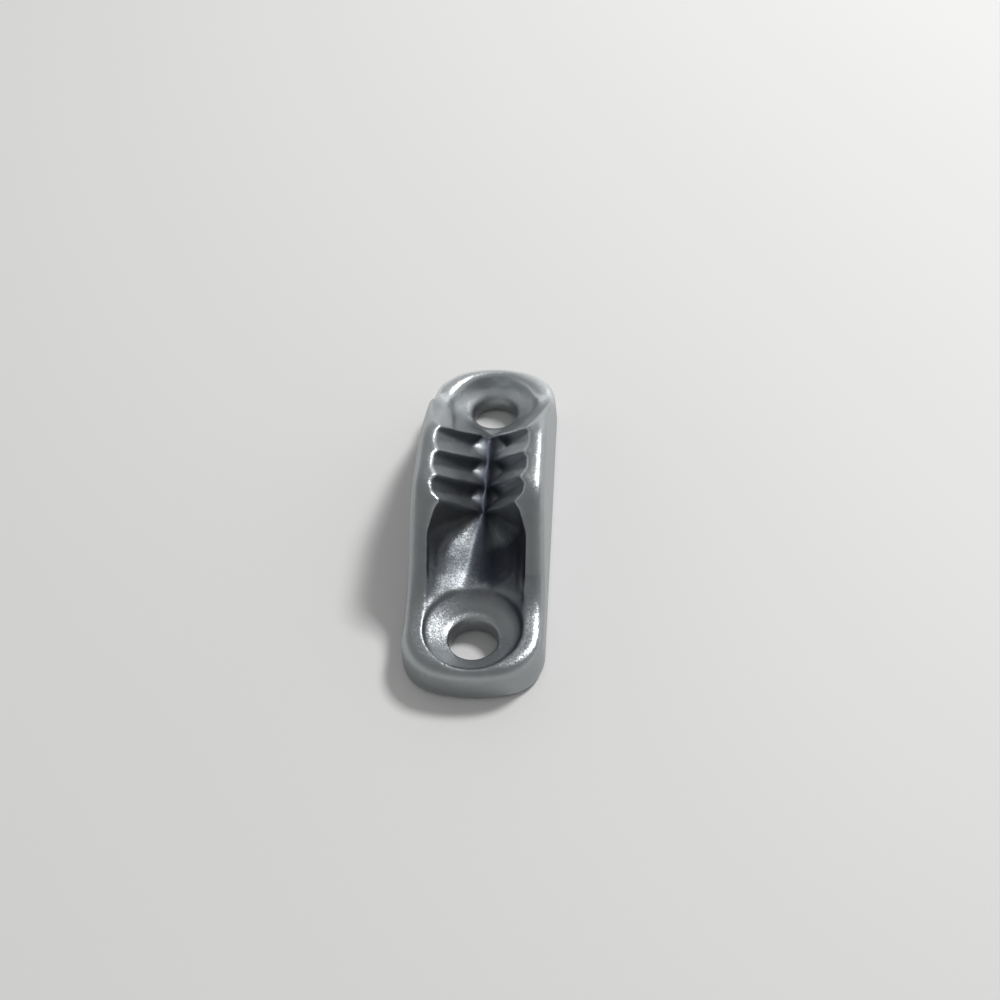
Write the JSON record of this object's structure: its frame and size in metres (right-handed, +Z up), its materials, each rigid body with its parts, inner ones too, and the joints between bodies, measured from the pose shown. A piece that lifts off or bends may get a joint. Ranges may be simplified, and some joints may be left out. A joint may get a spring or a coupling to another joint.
{
  "type": "jam cleat",
  "caption": "Small one-piece cast jam cleat: a toothed V channel between two raised cheeks, a tapering lead-in trough and a countersunk screw hole at each end.",
  "frame": {"origin": "centre of the foot's underside, midway between the two screw holes", "axes": "+Z up from the mounting surface, +Y along the cleat from the cord pocket over the teeth to the low far pad, +X across"},
  "size_m": [0.0122, 0.0364, 0.0102],
  "materials": {
    "cast_aluminium": "satin die-cast aluminium with a fine metallic sparkle"
  },
  "bodies": {
    "root": {"cleat_body": "cast_aluminium"}
  },
  "joints": []
}
